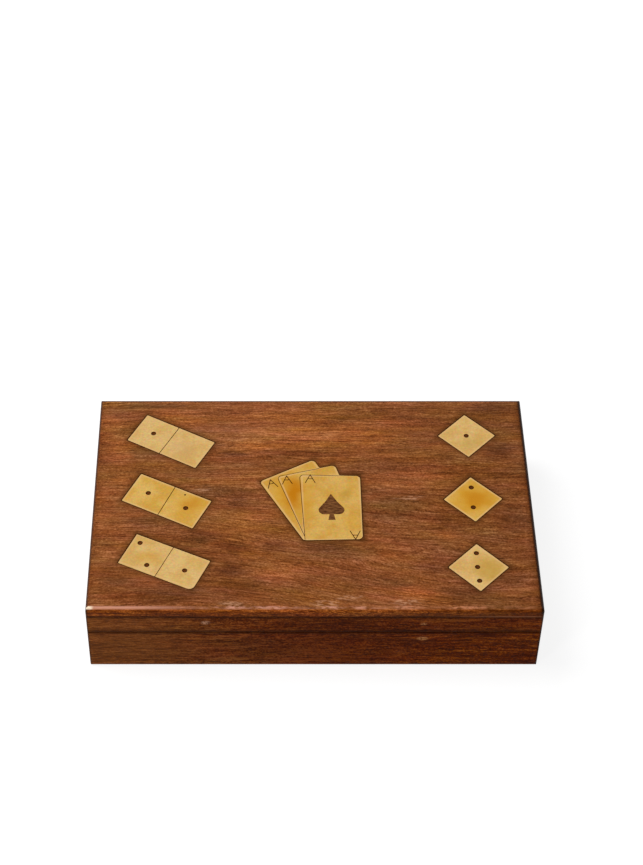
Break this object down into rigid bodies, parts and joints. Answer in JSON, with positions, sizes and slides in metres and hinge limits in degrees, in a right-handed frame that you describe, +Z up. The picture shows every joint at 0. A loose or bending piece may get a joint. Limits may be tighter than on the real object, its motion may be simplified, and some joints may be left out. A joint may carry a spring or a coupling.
{
  "type": "games storage box",
  "caption": "Hinged hardwood box with a brass-inlaid lid and three felt-lined wells, for dominoes, playing cards and dice.",
  "frame": {"origin": "centre of the underside of the wooden box, without the hinge barrels", "axes": "+X to the right along the length, +Y from the front to the hinged back, +Z up"},
  "size_m": [0.18, 0.1174, 0.0365],
  "materials": {
    "rosewood": "waxed dark reddish-brown hardwood with fine pores, satin",
    "top_wood": "waxed reddish-brown hardwood with fine streaks and darker clouds, satin",
    "inlay_brass": "flatted and aged, with orange and olive tarnish",
    "hinge_brass": "plain drawn brass, dulled",
    "pin_steel": "plain drawn wire",
    "lac": "hard dark brown filling, levelled with the wood",
    "felt": "thin deep red wool felt"
  },
  "bodies": {
    "base": {"base_front_wall": "rosewood", "base_back_wall": "rosewood", "base_left_wall": "rosewood", "base_right_wall": "rosewood", "base_floor": "rosewood", "domino_divider": "rosewood", "dice_divider": "rosewood", "domino_well_felt": "felt", "card_well_felt": "felt", "dice_well_felt": "felt", "left_hinge_base_leaf": "hinge_brass", "right_hinge_base_leaf": "hinge_brass", "left_hinge_pin": "pin_steel", "right_hinge_pin": "pin_steel", "base_hinge_screws": "hinge_brass"},
    "lid": {"lid_top_board": "top_wood", "lid_front_rail": "rosewood", "lid_back_rail": "rosewood", "lid_left_rail": "rosewood", "lid_right_rail": "rosewood", "left_hinge_lid_leaf": "hinge_brass", "right_hinge_lid_leaf": "hinge_brass", "lid_hinge_screws": "hinge_brass", "domino_plate_back": "inlay_brass", "domino_plate_middle": "inlay_brass", "domino_plate_front": "inlay_brass", "die_plate_back": "inlay_brass", "die_plate_middle": "inlay_brass", "die_plate_front": "inlay_brass", "card_fan_plate": "inlay_brass", "domino_lac": "lac", "dice_lac": "lac", "card_lac": "lac"}
  },
  "joints": [
    {"name": "lid_hinge", "type": "hinge", "parent": "base", "child": "lid", "pos_m": [0, 0.0588, 0.022], "axis": [-1, 0, 0], "range_deg": [0, 180]}
  ]
}
